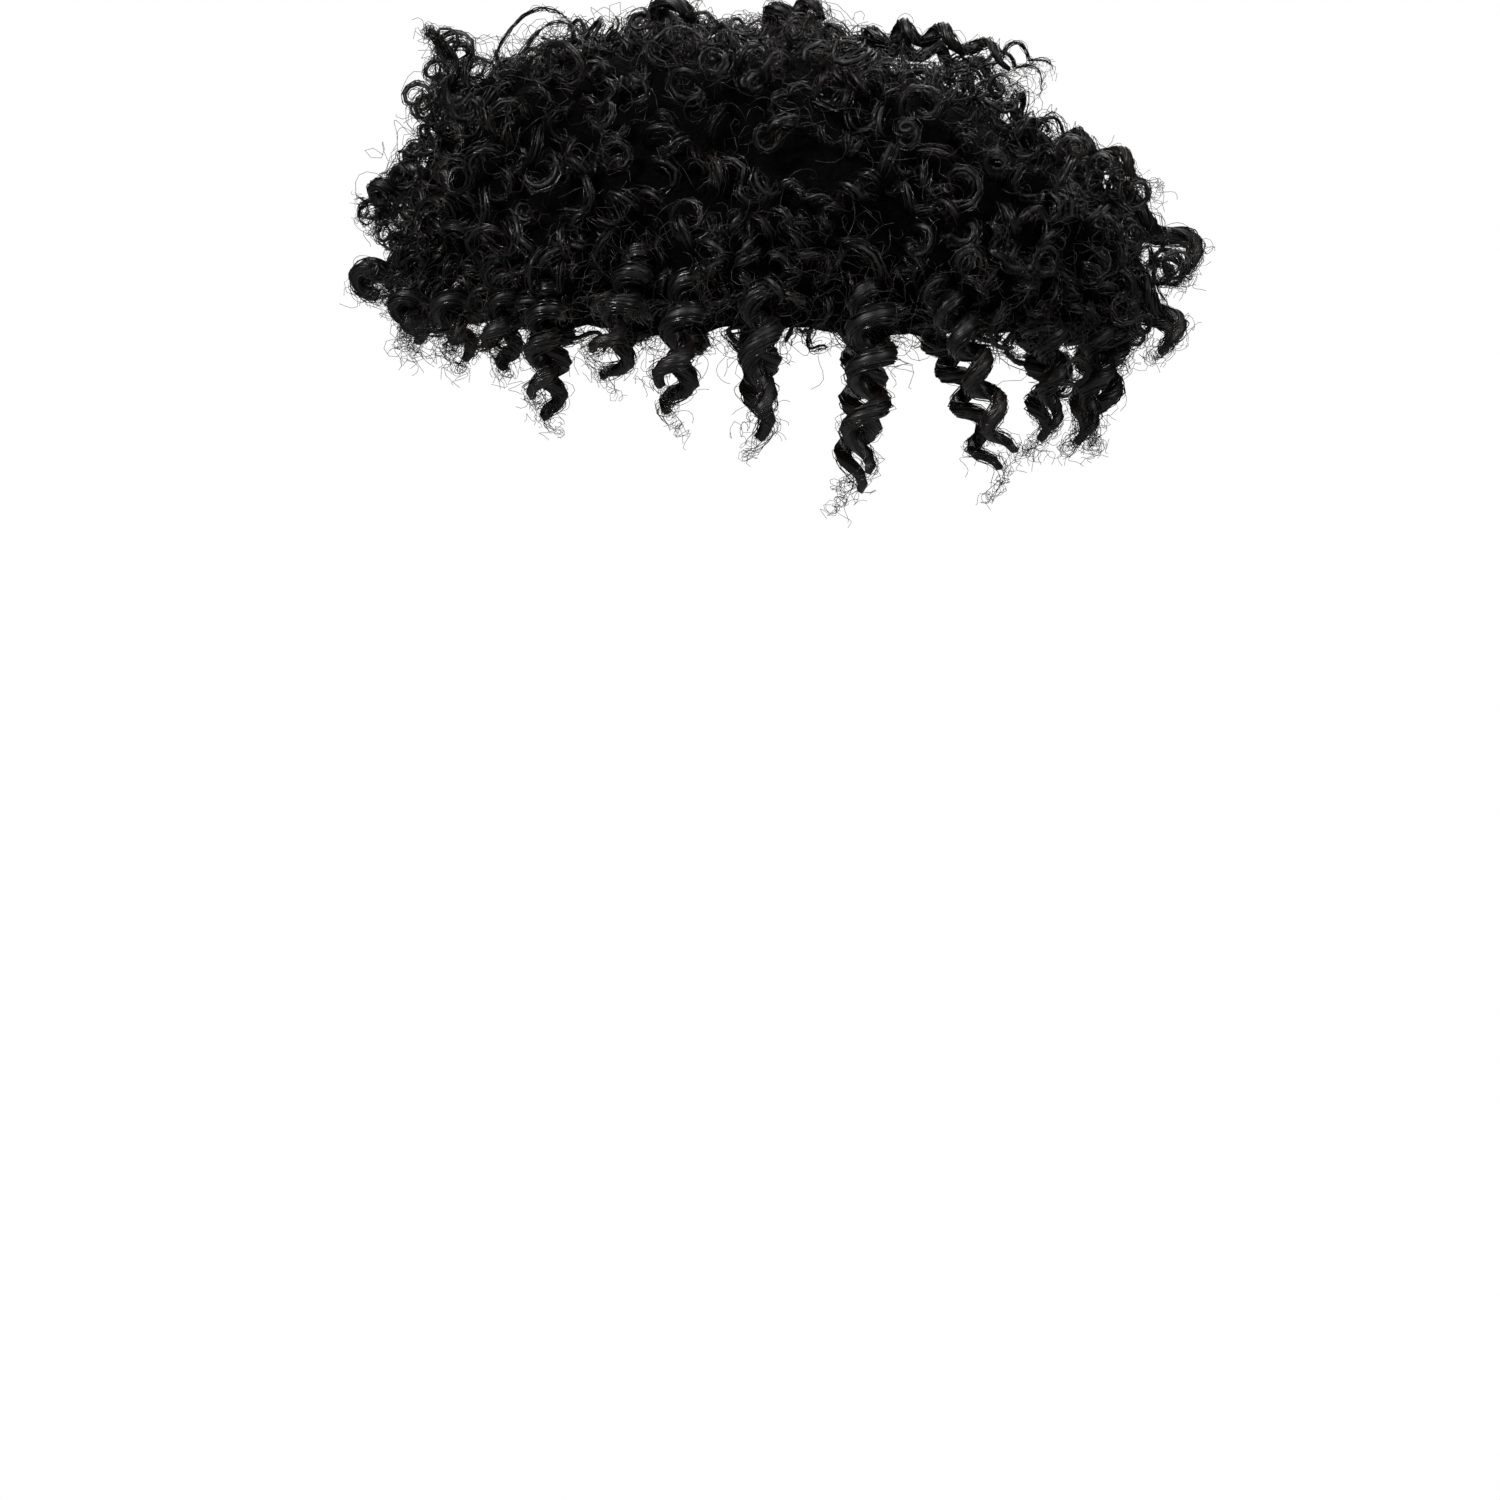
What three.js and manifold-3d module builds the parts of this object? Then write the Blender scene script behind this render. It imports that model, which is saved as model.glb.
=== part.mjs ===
// A man's curly hairpiece: a thin moulded base and the hair tied to it, in five sections of corkscrew locks.
// Millimetres, +Z up. The wearer faces -Y, and +X is the wearer's left.
// The origin is the highest point of the base's inner face, which rests on the crown of the head.
import * as THREE from 'three';
import { mergeVertices } from 'three/addons/utils/BufferGeometryUtils.js';
import Module from 'manifold-3d';

const wasm = await Module();
wasm.setup();

// The head that the base is moulded to: the upper part of an ellipsoid.
const HEAD_LENGTH = 196;
const HEAD_WIDTH = 152;
const HEAD_RISE = 82;

// The base, and how far its edge lies below the crown.
const BASE_WALL = 1.2;
const BASE_DROP = { front: 60, side: 54, back: 62 };

// The hair stands clear of the base and of the next section by this much.
const SEAT_GAP = 0.35;
const SECTION_GAP = 0.5;

// How far the massed hair stands out past the head, and how far its edge lies below the crown.
const HAIR_DEPTH = { crown: 27, front: 12, side: 24, back: 38 };
const HAIR_DROP = { front: 68, side: 70, back: 77 };
const WAVE_HEIGHT = 4;
const WAVES_ROUND = 10;
const WAVES_DOWN = 2;

// The crown section is an oval in plan, and the others meet at these turns round from the front, in degrees.
const CROWN_OVAL = { half_width: 50, half_length: 60 };
const FRONT_EDGE_ANGLE = 38;
const BACK_EDGE_ANGLE = 137;

// The locks: the outer radius of a full lock, half the width of the flat rope of hair that coils in
// it and how thick the rope is to its width, and the reach and fall of a full lock.
const LOCK_RADIUS = 9;
const ROPE_RADIUS = 4;
const FLATNESS = 0.95;
const LOCK_REACH = 24;
const LOCK_FALL = 56;
const ROOT_SHARE = 0.4;
const TIP_SHARE = 0.5;

// How finely the faces are cut.
const COLUMNS = 40;
const ROPE_SIDES = 4;
const STEPS_PER_TURN = 7;

const HAIR_BLACK = 0x0c0a0a;
const BASE_TAN = 0xb08a6c;

// The outline of the massed hair, from its top to its lower edge. Each row is one level: its fall is
// a share of the whole height, and its front, side and back are shares of the hair's reach there.
const LEVELS = [
  { fall: 0.0, front: 0.0, side: 0.0, back: 0.0 },
  { fall: 0.02, front: 0.42, side: 0.34, back: 0.2 },
  { fall: 0.07, front: 0.66, side: 0.6, back: 0.34 },
  { fall: 0.16, front: 0.83, side: 0.77, back: 0.58 },
  { fall: 0.32, front: 0.92, side: 0.88, back: 0.75 },
  { fall: 0.5, front: 0.97, side: 0.95, back: 0.91 },
  { fall: 0.68, front: 1.0, side: 1.0, back: 0.98 },
  { fall: 0.85, front: 1.0, side: 1.0, back: 0.97 },
  { fall: 1.0, front: 0.93, side: 0.93, back: 0.9 },
];

// The locks that stand free of the mass. turn is in degrees round from the front towards the wearer's
// left, and level is the share of the mass's face, from its top, where the lock comes out. The others
// but turns are shares of the sizes above: rise is how far the lock first springs out, and lean is the
// tip's way towards the back.
const SIDE_LOCKS = [
  { turn: 48, level: 0.95, rise: 0.3, reach: 0.1, fall: 0.34, lean: -0.2, coil: 0.6, rope: 0.6, turns: 2.5 },
  { turn: 57, level: 0.95, rise: 0.3, reach: 0.0, fall: 0.66, lean: -0.1, coil: 0.74, rope: 0.75, turns: 4.5 },
  { turn: 74, level: 0.86, rise: 0.35, reach: 0.1, fall: 0.6, lean: -0.6, coil: 0.78, rope: 0.75, turns: 4.5 },
  { turn: 83, level: 0.93, rise: 0.3, reach: 0.1, fall: 0.65, lean: -0.4, coil: 0.85, rope: 0.85, turns: 3.5 },
  { turn: 94, level: 0.95, rise: 0.2, reach: 0.1, fall: 0.77, lean: -0.1, coil: 0.9, rope: 1.0, turns: 3 },
  { turn: 111, level: 0.95, rise: 0.3, reach: 0.0, fall: 1.1, lean: -0.4, coil: 1.05, rope: 0.92, turns: 5 },
  { turn: 121, level: 0.93, rise: 0.3, reach: 0.1, fall: 1.03, lean: 0.9, coil: 0.84, rope: 0.75, turns: 6 },
];
const BACK_LOCKS = [
  { turn: 145, level: 0.95, rise: 0.2, reach: -0.3, fall: 0.7, lean: 0.1, coil: 0.78, rope: 0.8, turns: 4 },
  { turn: 157, level: 0.93, rise: 0.2, reach: -0.5, fall: 0.76, lean: -0.1, coil: 0.74, rope: 0.75, turns: 4 },
  { turn: 169, level: 0.95, rise: 0.2, reach: -0.6, fall: 0.64, lean: 0.1, coil: 0.72, rope: 0.75, turns: 3.5 },
];
const BACK_TUFTS = [
  { turn: 166, level: 0.51, rise: 0.6, reach: 1.4, fall: 0.34, lean: 0.1, coil: 0.55, rope: 0.4, turns: 3.5 },
  { turn: 172, level: 0.66, rise: 0.8, reach: 0.9, fall: 0.42, lean: 0.1, coil: 0.7, rope: 0.5, turns: 2 },
  { turn: 164, level: 0.84, rise: 0.6, reach: 0.3, fall: 0.4, lean: 0.1, coil: 0.6, rope: 0.5, turns: 2 },
];
const FRONT_LOCKS = [
  { turn: 9, level: 0.82, rise: 0.6, reach: 0.35, fall: 0.25, lean: 0.1, coil: 0.7, rope: 0.6, turns: 1.5 },
  { turn: 21, level: 0.93, rise: 0.4, reach: 0.0, fall: 0.22, lean: 0.1, coil: 0.75, rope: 0.65, turns: 2 },
  { turn: 32, level: 0.93, rise: 0.4, reach: -0.1, fall: 0.3, lean: 0.0, coil: 0.75, rope: 0.65, turns: 2 },
];
const FRONT_TUFTS = [
  { turn: 12, level: 0.42, rise: 0.5, reach: 0.0, fall: -0.26, lean: 0.9, coil: 0.95, rope: 0.38, turns: 1.6 },
  { turn: 12, level: 0.62, rise: 0.6, reach: 0.5, fall: 0.3, lean: -0.1, coil: 0.6, rope: 0.45, turns: 3 },
];
const CROWN_TUFTS = [
  { turn: 60, level: 0.15, rise: 0.7, reach: -0.4, fall: -0.08, lean: 0.6, coil: 0.75, rope: 0.65, turns: 2 },
  { turn: 115, level: 0.1, rise: 0.5, reach: 0.2, fall: -0.04, lean: 0.9, coil: 0.6, rope: 0.5, turns: 2 },
  { turn: 160, level: 0.22, rise: 0.8, reach: 2.5, fall: 0.2, lean: 0.0, coil: 0.62, rope: 0.42, turns: 5.5 },
];

const UP = new THREE.Vector3(0, 0, 1);
const radians = THREE.MathUtils.degToRad;

// A value that is given at the front, side and back, at any turn between them.
function around(turn, { front, side, back }) {
  const facing = Math.cos(turn);
  return side + ((facing > 0 ? front : back) - side) * facing ** 2;
}

// The outward direction and the direction round the head, at a turn.
const outward = (turn) => new THREE.Vector3(Math.sin(turn), -Math.cos(turn), 0);
const roundward = (turn) => new THREE.Vector3(Math.cos(turn), Math.sin(turn), 0);

// A point of the head's ellipsoid, or offset from it, from the crown at share 0 to the base's edge at share 1.
function headPoint(turn, share, offset) {
  const tilt = share * Math.acos(1 - around(turn, BASE_DROP) / HEAD_RISE);
  const half = { x: HEAD_WIDTH / 2, y: HEAD_LENGTH / 2 };
  const normal = new THREE.Vector3(
    (Math.sin(tilt) * Math.sin(turn)) / half.x,
    (-Math.sin(tilt) * Math.cos(turn)) / half.y,
    Math.cos(tilt) / HEAD_RISE,
  ).normalize();
  return new THREE.Vector3(
    half.x * Math.sin(tilt) * Math.sin(turn),
    -half.y * Math.sin(tilt) * Math.cos(turn),
    HEAD_RISE * (Math.cos(tilt) - 1),
  ).addScaledVector(normal, offset);
}

// A point of the massed hair's inner face, which lies over the base.
const seatPoint = (turn, share) => headPoint(turn, share, BASE_WALL + SEAT_GAP);

// What a column of the level table holds at a share of the way down its rows.
function levelAt(share, column) {
  const last = LEVELS.length - 1;
  const row = Math.min(Math.floor(share * last), last - 1);
  return THREE.MathUtils.lerp(LEVELS[row][column], LEVELS[row + 1][column], share * last - row);
}

// A point of the massed hair's outer face, from its top at share 0 to its lower edge at share 1.
function hairPoint(turn, share) {
  const way = Math.cos(turn) > 0 ? 'front' : 'back';
  const side = levelAt(share, 'side');
  const end = levelAt(share, way);
  const swell = Math.cos(WAVES_ROUND * turn) * Math.sin(2 * Math.PI * WAVES_DOWN * share);
  const height = HAIR_DEPTH.crown + around(turn, HAIR_DROP);
  return new THREE.Vector3(
    side * (HEAD_WIDTH / 2 + HAIR_DEPTH.side) * Math.sin(turn),
    -end * (HEAD_LENGTH / 2 + HAIR_DEPTH[way]) * Math.cos(turn),
    HAIR_DEPTH.crown - levelAt(share, 'fall') * height,
  )
    .addScaledVector(outward(turn), swell * WAVE_HEIGHT * side)
    .addScaledVector(UP, swell * WAVE_HEIGHT * (1 - side));
}

// A closed geometry as a solid that can be joined and cut.
function solidOf(geometry) {
  const bare = geometry.clone();
  bare.deleteAttribute('normal');
  bare.deleteAttribute('uv');
  const merged = mergeVertices(bare, 1e-4);
  const corners = merged.index.array;
  const triVerts = [];
  for (let i = 0; i < corners.length; i += 3) {
    const [a, b, c] = corners.slice(i, i + 3);
    if (a !== b && b !== c && c !== a) triVerts.push(a, b, c);
  }
  return new wasm.Manifold(
    new wasm.Mesh({
      numProp: 3,
      vertProperties: merged.attributes.position.array,
      triVerts: new Uint32Array(triVerts),
    }),
  );
}

// A solid as a named mesh.
function meshOf(name, solid, material) {
  const { vertProperties, triVerts } = solid.getMesh();
  const geometry = new THREE.BufferGeometry()
    .setAttribute('position', new THREE.BufferAttribute(vertProperties, 3))
    .setIndex(new THREE.BufferAttribute(triVerts, 1));
  geometry.computeVertexNormals();
  const mesh = new THREE.Mesh(geometry, material);
  mesh.name = name;
  return mesh;
}

// Moves each corner of a geometry to where place puts it.
function carry(geometry, place) {
  const position = geometry.getAttribute('position');
  for (let i = 0; i < position.count; i++) {
    const corner = new THREE.Vector3().fromBufferAttribute(position, i);
    position.setXYZ(i, ...place(corner));
  }
  return geometry;
}

// A domed layer between two faces. It is lathed as a flat drum whose radius is the share from crown to
// rim, and its corners are then carried to the inner face at height 0 and to the outer at height 1.
function domedLayer(innerFace, outerFace) {
  const shares = LEVELS.map((_, ring) => ring / (LEVELS.length - 1));
  const inner = shares.map((share) => new THREE.Vector2(share, 0));
  const outer = shares.map((share) => new THREE.Vector2(share, 1)).reverse();
  const drum = new THREE.LatheGeometry([...inner, ...outer], COLUMNS);
  return carry(drum, ({ x, y, z }) => {
    const face = y > 0.5 ? outerFace : innerFace;
    return face(Math.atan2(x, z), Math.min(1, Math.hypot(x, z)));
  });
}

// A rope of hair that winds round a lock's bending middle line: where its own middle lies at a share
// of the way along, and the directions away from the lock's middle and across the rope.
function winding(middle, across, radius, turns, start) {
  const placeAt = (share) => {
    const along = middle.getTangent(share);
    const out = new THREE.Vector3().crossVectors(along, across).normalize();
    const side = new THREE.Vector3().crossVectors(along, out);
    const angle = start + 2 * Math.PI * turns * share;
    const away = out.multiplyScalar(Math.cos(angle)).addScaledVector(side, Math.sin(angle));
    const grown = radius * Math.min(1, 4 * share) * (1 - 0.3 * share * share);
    return { point: middle.getPoint(share).addScaledVector(away, grown), away };
  };
  return (share) => {
    const { point, away } = placeAt(share);
    const before = placeAt(Math.max(0, share - 0.01)).point;
    const run = placeAt(Math.min(1, share + 0.01)).point.sub(before);
    const flat = new THREE.Vector3().crossVectors(run, away).normalize();
    return { point, away: new THREE.Vector3().crossVectors(flat, run).normalize(), flat };
  };
}

// A flat bar bent along a winding, thinning towards its tip.
function rope(winding, width, steps) {
  const bar = new THREE.CylinderGeometry(1, 1, 1, ROPE_SIDES, steps);
  return carry(bar, ({ x, y, z }) => {
    const share = Math.min(1, Math.max(0, 0.5 - y));
    const girth = width * (1 - (1 - TIP_SHARE) * share ** 4);
    const { point, away, flat } = winding(share);
    return point.addScaledVector(away, x * girth * FLATNESS).addScaledVector(flat, z * girth);
  });
}

// One corkscrew lock, from inside the massed hair to its free tip.
function lock({ turn, level, rise, reach, fall, lean, coil, rope: girth, turns }) {
  const angle = radians(turn);
  const across = roundward(angle);
  const top = hairPoint(angle, level);
  const root = top.clone().lerp(seatPoint(angle, level), ROOT_SHARE);
  const away = top.clone().sub(root).normalize();
  const shoulder = top.clone().addScaledVector(away, rise * LOCK_REACH);
  const tip = top
    .clone()
    .addScaledVector(outward(angle), reach * LOCK_REACH)
    .addScaledVector(across, lean * LOCK_REACH)
    .addScaledVector(UP, -fall * LOCK_FALL);
  const middle = new THREE.QuadraticBezierCurve3(root, shoulder, tip);
  const width = girth * ROPE_RADIUS;
  const path = winding(middle, across, coil * LOCK_RADIUS - width * FLATNESS, turns, angle);
  return solidOf(rope(path, width, Math.ceil(STEPS_PER_TURN * turns) + 2));
}

// The same solid on the wearer's other side.
const mirrored = (solid) => solid.mirror([1, 0, 0]);

// A flat shape as a column that is taller than the hairpiece.
function columnOf(shape) {
  const depth = 2 * (HEAD_LENGTH + HEAD_RISE);
  return solidOf(new THREE.ExtrudeGeometry(shape, { depth, bevelEnabled: false }).translate(0, 0, -depth / 2));
}

// The column over the crown section, grown by a margin.
function crownColumn(margin) {
  const shape = new THREE.Shape();
  shape.absellipse(0, 0, CROWN_OVAL.half_width + margin, CROWN_OVAL.half_length + margin, 0, 2 * Math.PI);
  return columnOf(shape);
}

// The direction in plan from the middle to the massed hair's outline at a turn.
function planDirection(turn) {
  const way = Math.cos(turn) > 0 ? 'front' : 'back';
  return new THREE.Vector3(
    (HEAD_WIDTH / 2 + HAIR_DEPTH.side) * Math.sin(turn),
    -(HEAD_LENGTH / 2 + HAIR_DEPTH[way]) * Math.cos(turn),
  ).normalize();
}

// The column over what lies between two turns, half a gap inside each.
function sectorColumn(from, to) {
  const [start, end] = [from, to].map((turn) => planDirection(radians(turn)));
  const middle = start.clone().add(end).normalize();
  const corner = middle.clone().multiplyScalar(SECTION_GAP / 2 / Math.sin(start.angleTo(end) / 2));
  const far = [start, middle, end].map((way) => way.clone().multiplyScalar(2 * HEAD_LENGTH).add(corner));
  return columnOf(new THREE.Shape([corner, ...far].map(({ x, y }) => new THREE.Vector2(x, y))));
}

const baseSolid = solidOf(
  domedLayer(
    (turn, share) => headPoint(turn, share, 0),
    (turn, share) => headPoint(turn, share, BASE_WALL),
  ),
);
const massSolid = solidOf(domedLayer(seatPoint, hairPoint));
const outerRing = massSolid.subtract(crownColumn(SECTION_GAP));

// A section of the hair: its part of the mass, with its locks fused to it.
const section = (mass, locks) => locks.reduce((solid, row) => solid.add(lock(row)), mass);

// The same for a section that lies across the middle, where each lock has its like on the other side.
function middleSection(mass, locks) {
  const left = locks.map(lock);
  return [...left, ...left.map(mirrored)].reduce((solid, strand) => solid.add(strand), mass);
}

const sideColumn = sectorColumn(FRONT_EDGE_ANGLE, BACK_EDGE_ANGLE);
const frontColumn = sectorColumn(-FRONT_EDGE_ANGLE, FRONT_EDGE_ANGLE);
const backColumn = sectorColumn(BACK_EDGE_ANGLE, 360 - BACK_EDGE_ANGLE);
const frontLocks = [...FRONT_LOCKS, ...FRONT_TUFTS];
const backLocks = [...BACK_LOCKS, ...BACK_TUFTS];

const leftSide = section(outerRing.intersect(sideColumn), SIDE_LOCKS);
const sections = {
  crown_hair: middleSection(massSolid.intersect(crownColumn(0)), CROWN_TUFTS),
  front_fringe: middleSection(outerRing.intersect(frontColumn), frontLocks),
  left_side_hair: leftSide,
  right_side_hair: mirrored(leftSide),
  back_hair: middleSection(outerRing.intersect(backColumn), backLocks),
};

const hairMaterial = new THREE.MeshStandardMaterial({ color: HAIR_BLACK, roughness: 0.5 });
const baseMaterial = new THREE.MeshStandardMaterial({ color: BASE_TAN, roughness: 0.7 });

const hairpiece = new THREE.Group();
hairpiece.add(meshOf('base_cap', baseSolid, baseMaterial));
for (const [name, solid] of Object.entries(sections)) {
  hairpiece.add(meshOf(name, solid, hairMaterial));
}

export default hairpiece;
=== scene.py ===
import math

import bmesh
import bpy
import numpy as np
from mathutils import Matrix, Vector


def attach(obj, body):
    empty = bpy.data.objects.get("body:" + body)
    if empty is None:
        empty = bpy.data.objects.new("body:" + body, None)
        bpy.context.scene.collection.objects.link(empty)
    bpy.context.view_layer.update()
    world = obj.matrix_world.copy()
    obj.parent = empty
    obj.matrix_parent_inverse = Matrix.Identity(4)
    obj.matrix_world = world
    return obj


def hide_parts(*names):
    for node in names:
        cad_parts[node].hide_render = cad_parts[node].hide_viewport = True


# Lengths are written in millimetres and made metres when a mesh is built.
MM = 0.001

# The photograph's frame: its width in pixels, a pixel's length in the part's middle plane, and the pixel column
# and row of the part's origin. The camera's distance is in metres, and its sensor's width in millimetres.
PHOTO_PIXELS = 1500
PIXEL = 0.32
ORIGIN_COLUMN = 735
ORIGIN_ROW = 112
CAMERA_DISTANCE = 2.6
SENSOR_WIDTH = 36

# The form of the moulded base, and the outline of the massed hair, as the part's own solids have them.
FORM_LENGTH = 196
FORM_WIDTH = 152
FORM_RISE = 82
BASE_WALL = 1.2
BASE_GAP = 0.35
BASE_DROP = {"front": 60, "side": 54, "back": 62}
HAIR_DEPTH = {"crown": 27, "front": 12, "side": 24, "back": 38}
HAIR_DROP = {"front": 68, "side": 70, "back": 77}
WAVE_HEIGHT = 4
WAVES_ROUND = 10
WAVES_DOWN = 2
CROWN_OVAL = (50, 60)
FRONT_EDGE_ANGLE = 38
BACK_EDGE_ANGLE = 137
LEVELS = {
    "fall": (0.0, 0.02, 0.07, 0.16, 0.32, 0.5, 0.68, 0.85, 1.0),
    "front": (0.0, 0.42, 0.66, 0.83, 0.92, 0.97, 1.0, 1.0, 0.93),
    "side": (0.0, 0.34, 0.6, 0.77, 0.88, 0.95, 1.0, 1.0, 0.93),
    "back": (0.0, 0.2, 0.34, 0.58, 0.75, 0.91, 0.98, 0.97, 0.9),
}

# The free locks: outer radius of a full lock, half the width of its flat rope of hair, how thick the rope is to
# its width, and the reach and fall of a full lock. Its root lies at a share of the way down to the base. Loose
# strands make a thin rope fuller: its width is its share of a full one to the power of the loosening.
LOCK_RADIUS = 9
ROPE_RADIUS = 4
FLATNESS = 0.95
LOCK_REACH = 24
LOCK_FALL = 56
ROOT_SHARE = 0.4
ROPE_LOOSENING = 0.65
LOCK_STEPS = {"crown": 40, "front": 32, "left": 48, "right": 48, "back": 40}

# Columns: turn, level, rise, reach, fall, lean, coil, rope, turns.
SIDE_LOCKS = [
    (48, 0.95, 0.3, 0.1, 0.34, -0.2, 0.6, 0.6, 2.5),
    (57, 0.95, 0.3, 0.0, 0.66, -0.1, 0.74, 0.75, 4.5),
    (74, 0.86, 0.35, 0.1, 0.6, -0.6, 0.78, 0.75, 4.5),
    (83, 0.93, 0.3, 0.1, 0.65, -0.4, 0.85, 0.85, 3.5),
    (94, 0.95, 0.2, 0.1, 0.77, -0.1, 0.9, 1.0, 3),
    (111, 0.95, 0.3, 0.0, 1.1, -0.4, 1.05, 0.92, 5),
    (121, 0.93, 0.3, 0.1, 1.03, 0.9, 0.84, 0.75, 6),
]
BACK_LOCKS = [
    (145, 0.95, 0.2, -0.3, 0.7, 0.1, 0.78, 0.8, 4),
    (157, 0.93, 0.2, -0.5, 0.76, -0.1, 0.74, 0.75, 4),
    (169, 0.95, 0.2, -0.6, 0.64, 0.1, 0.72, 0.75, 3.5),
]
BACK_TUFTS = [
    (166, 0.51, 0.6, 1.4, 0.34, 0.1, 0.55, 0.4, 3.5),
    (172, 0.66, 0.8, 0.9, 0.42, 0.1, 0.7, 0.5, 2),
    (164, 0.84, 0.6, 0.3, 0.4, 0.1, 0.6, 0.5, 2),
]
FRONT_LOCKS = [
    (9, 0.82, 0.6, 0.35, 0.25, 0.1, 0.7, 0.6, 1.5),
    (21, 0.93, 0.4, 0.0, 0.22, 0.1, 0.75, 0.65, 2),
    (32, 0.93, 0.4, -0.1, 0.3, 0.0, 0.75, 0.65, 2),
]
FRONT_TUFTS = [
    (12, 0.42, 0.5, 0.0, -0.26, 0.9, 0.95, 0.38, 1.6),
    (12, 0.62, 0.6, 0.5, 0.3, -0.1, 0.6, 0.45, 3),
]
CROWN_TUFTS = [
    (60, 0.15, 0.7, -0.4, -0.08, 0.6, 0.75, 0.65, 2),
    (115, 0.1, 0.5, 0.2, -0.04, 0.9, 0.6, 0.5, 2),
    (160, 0.22, 0.8, 2.5, 0.2, 0.0, 0.62, 0.42, 5.5),
]

# Thin wisps that arc off the hair. Columns: root, the point that the wisp bends towards, tip, coil radius, turns.
ARC_WISPS = [
    ((22, -77, 14), (20, -62, 44), (16, -50, 24), 0.6, 1),
    ((-20, -74, 14), (-22, -58, 40), (-16, -46, 24), 0.6, 1),
    ((12, -105, -14), (12, -112, -38), (14, -122, -26), 0.5, 1),
    ((-12, -106, -16), (-12, -113, -40), (-16, -122, -30), 0.5, 1),
    ((14, 74, 10), (16, 94, 28), (18, 101, 8), 2.4, 2.4),
    ((-14, 70, 12), (-12, 92, 28), (-20, 100, 6), 2.4, 2.4),
    ((20, 122, -40), (24, 144, -34), (22, 138, -62), 3.0, 3),
    ((-18, 124, -44), (-20, 146, -40), (-26, 136, -66), 3.0, 3),
]

# Curls that show their ring to the side, each by its middle, its radius and half the width of its rope.
RING_CURLS = [
    ((22, -92, 21), 6.0, 1.2),
    ((26, -102, 4), 4.6, 1.3),
    ((30, -96, 12), 3.6, 1.1),
    ((24, -107, -22), 4.0, 1.2),
    ((14, -119, -32), 3.6, 0.5),
    ((28, -112, -40), 3.4, 1.0),
    ((30, -116, -53), 3.0, 0.9),
    ((44, -86, -2), 4.2, 1.3),
    ((34, -30, 27), 5.0, 1.6),
    ((36, 20, 26), 3.6, 1.2),
    ((38, 84, 6), 4.2, 1.3),
    ((40, 108, -14), 4.4, 1.3),
    ((30, 117, -19), 4.6, 1.3),
    ((28, 128, -28), 4.6, 1.3),
    ((24, 141, -50), 5.0, 1.3),
    ((30, 130, -70), 4.6, 1.2),
    ((36, 126, -42), 4.2, 1.1),
    ((40, 124, -66), 4.4, 1.2),
    ((52, 108, -86), 4.6, 1.3),
]

# How many curls and loose hairs there are, and into how many steps each of their lines is cut.
MASSED_COUNT, MASSED_STEPS = 430, 17
EDGE_COUNT, EDGE_STEPS = 104, 16
RING_STEPS = 22
ARC_STEPS = 34
FRIZZ_COUNT, FRIZZ_STEPS = 15, 15
FLYAWAY_STEPS = 14
FLYAWAY_BANDS = ((1300, 0.03), (380, 0.93))
PLACE_TRIES = 7000

# How far the massed curls rise and sink in lumps, and a shallow dip behind the fringe: its place from front to
# back, its half width, its depth, and how far down the hair it reaches.
LUMP_HEIGHT = 2.4
DIP_PLACE, DIP_WIDTH, DIP_DEPTH, DIP_REACH = -66, 12, 6, 0.35

# How each kind of curl is dressed: the sides of its core, its wisps and stray hairs, half a wisp's thickness, how
# far wisps drift off the rope, the girth left at its tip, the core's share of the rope, and how far out the wisps
# lie, as a share of it.
CURL_DRESS = dict(core_sides=5, wisps=7, strays=1, fine=0.18, loose=0.6, tip=0.5, core=0.5, spread=1.7)
RING_DRESS = dict(core_sides=5, wisps=7, strays=1, fine=0.17, loose=0.5, tip=0.5, core=0.6, spread=1.6)
LOCK_DRESS = dict(core_sides=10, wisps=15, strays=2, fine=0.25, loose=0.25, tip=0.7, core=0.9, spread=1.05)
ARC_DRESS = dict(core_sides=5, wisps=5, strays=4, fine=0.16, loose=0.3, tip=0.2, core=0.5, spread=1.05)
LOCK_FULLNESS = 0.95
ARC_ROPE = 0.6

# Half the thickness of single hairs, how loosely strands curl at their tips, and where along a strand its tip
# starts.
STRAY_HAIR = 0.1
FRIZZ_HAIR = 0.09
TIP_FRIZZ = 0.8
TIP_START, TIP_SPAN = 0.72, 0.28

# What the third value of the hair_mark attribute says of a strand.
CORE, WISP_STRAND, FINE_HAIR = 0.0, 0.5, 1.0

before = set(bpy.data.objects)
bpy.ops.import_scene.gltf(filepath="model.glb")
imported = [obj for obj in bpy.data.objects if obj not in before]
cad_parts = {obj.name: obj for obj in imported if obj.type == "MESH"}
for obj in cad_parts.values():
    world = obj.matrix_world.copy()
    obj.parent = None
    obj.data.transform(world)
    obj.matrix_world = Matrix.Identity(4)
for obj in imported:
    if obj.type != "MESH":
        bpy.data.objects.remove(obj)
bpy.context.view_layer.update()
chance = np.random.default_rng(11)


def unit(vectors):
    return vectors / np.maximum(np.linalg.norm(vectors, axis=-1, keepdims=True), 1e-9)


def around(turn, values):
    """A value given at the front, side and back, at any turn between them."""
    facing = np.cos(turn)
    end = np.where(facing > 0, values["front"], values["back"])
    return values["side"] + (end - values["side"]) * facing**2


def level_at(share, column):
    """A column of LEVELS at a share of the way down the hair."""
    last = len(LEVELS["fall"]) - 1
    return np.interp(np.asarray(share) * last, range(last + 1), LEVELS[column])


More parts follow.
